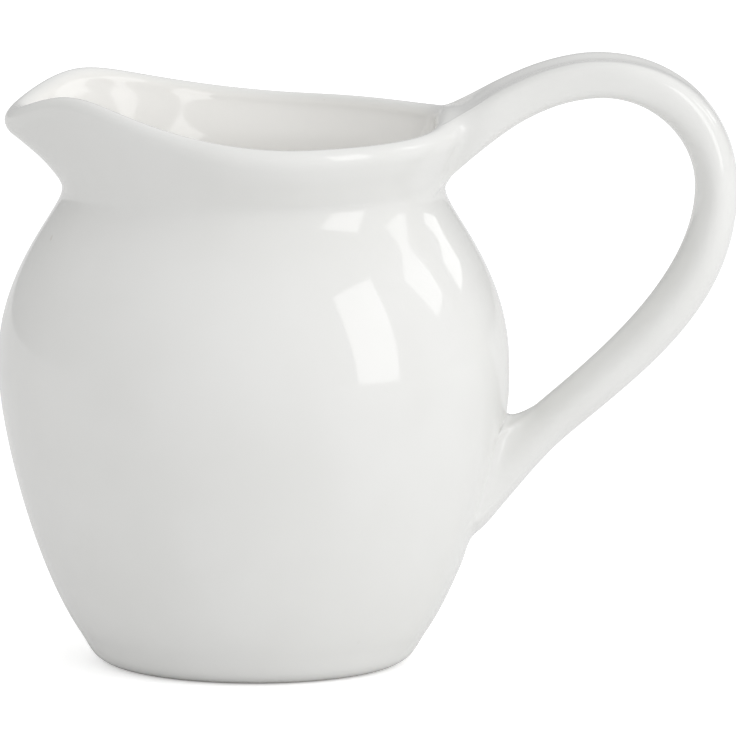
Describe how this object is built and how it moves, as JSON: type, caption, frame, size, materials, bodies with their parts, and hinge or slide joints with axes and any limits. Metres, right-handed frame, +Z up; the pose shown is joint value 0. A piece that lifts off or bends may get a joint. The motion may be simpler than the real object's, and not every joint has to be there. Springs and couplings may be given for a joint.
{
  "type": "porcelain milk jug",
  "caption": "White glazed porcelain milk jug with a round belly, a waisted neck, a drawn pouring spout and one strap handle.",
  "frame": {"origin": "centre of the round foot, on the surface the jug stands on", "axes": "+Z up; +X from the foot's centre towards the handle, so the spout points to -X; Y = 0 is the plane of symmetry"},
  "size_m": [0.1164, 0.0806, 0.0962],
  "materials": {
    "porcelain": "clear gloss glaze over a white porcelain body"
  },
  "bodies": {
    "root": {"milk_jug": "porcelain"}
  },
  "joints": []
}
